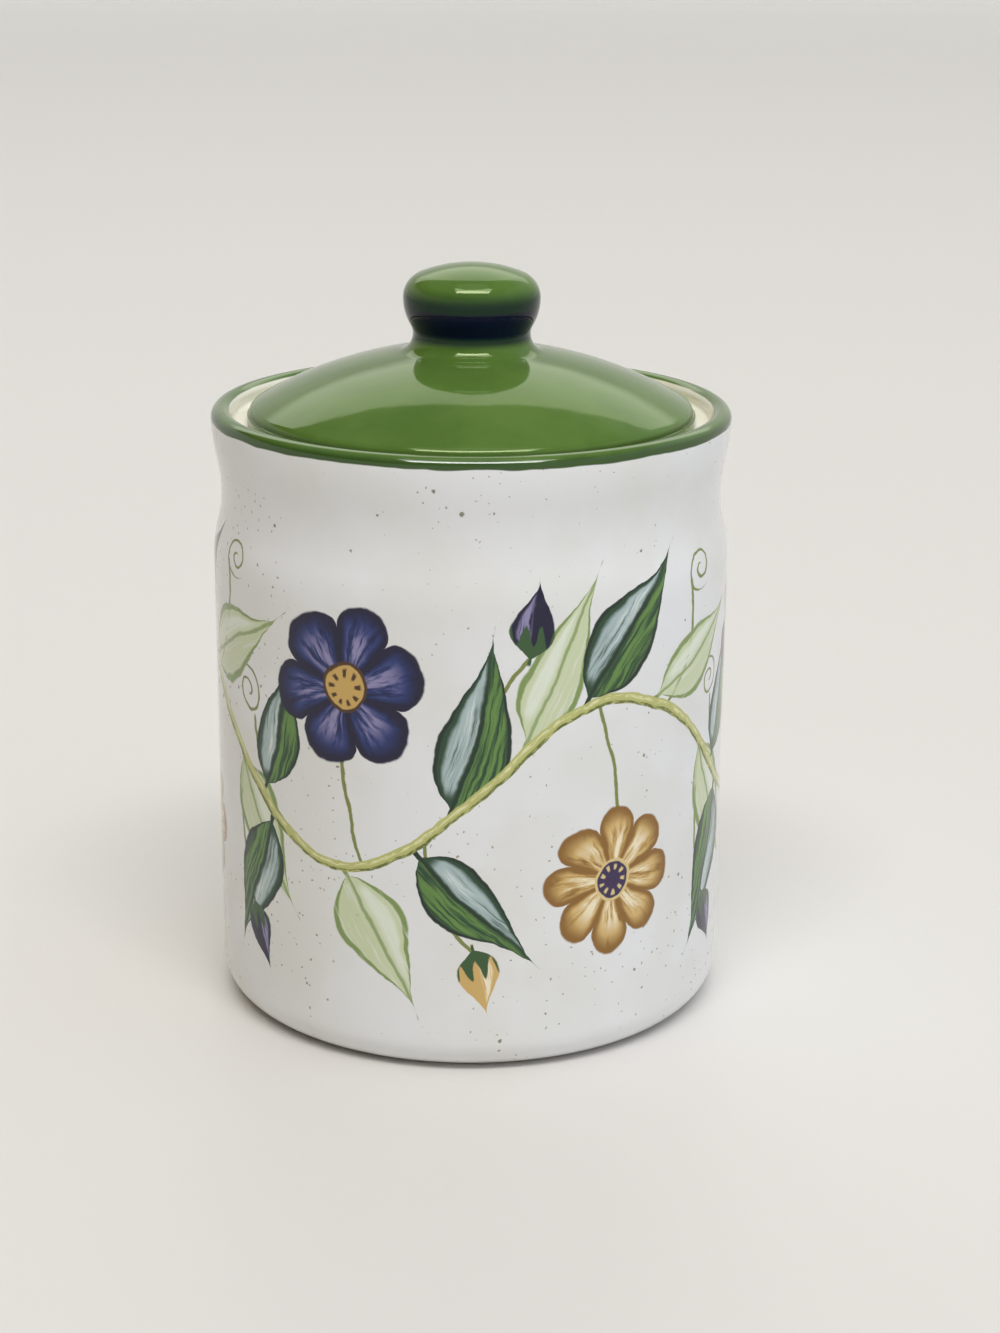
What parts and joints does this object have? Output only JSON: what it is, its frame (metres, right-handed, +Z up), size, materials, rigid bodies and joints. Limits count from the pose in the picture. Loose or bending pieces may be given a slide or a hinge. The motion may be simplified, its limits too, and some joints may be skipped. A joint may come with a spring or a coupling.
{
  "type": "kitchen canister",
  "caption": "Round glazed ceramic food canister: straight-sided jar with a drawn-in waist and rounded lip, and a domed knobbed lid with a sealing ring that drops onto an inner ledge.",
  "frame": {"origin": "on the table, at the middle of the foot ring", "axes": "+Z up along the jar's axis of revolution, through the middle of the knob; -Y is the side that the picture shows"},
  "size_m": [0.15, 0.15, 0.2172],
  "materials": {
    "white_glaze": "glossy white glaze with fine brown specks, hand-painted decoration and a green lip",
    "green_glaze": "glossy leaf-green glaze",
    "silicone": "matt translucent white silicone"
  },
  "bodies": {
    "jar": {"canister_body": "white_glaze"},
    "lid": {"lid": "green_glaze", "lid_gasket": "silicone"}
  },
  "joints": [
    {"name": "lid_lift", "type": "slide", "parent": "jar", "child": "lid", "axis": [0, 0, 1], "range_m": [0, 0.15]}
  ]
}
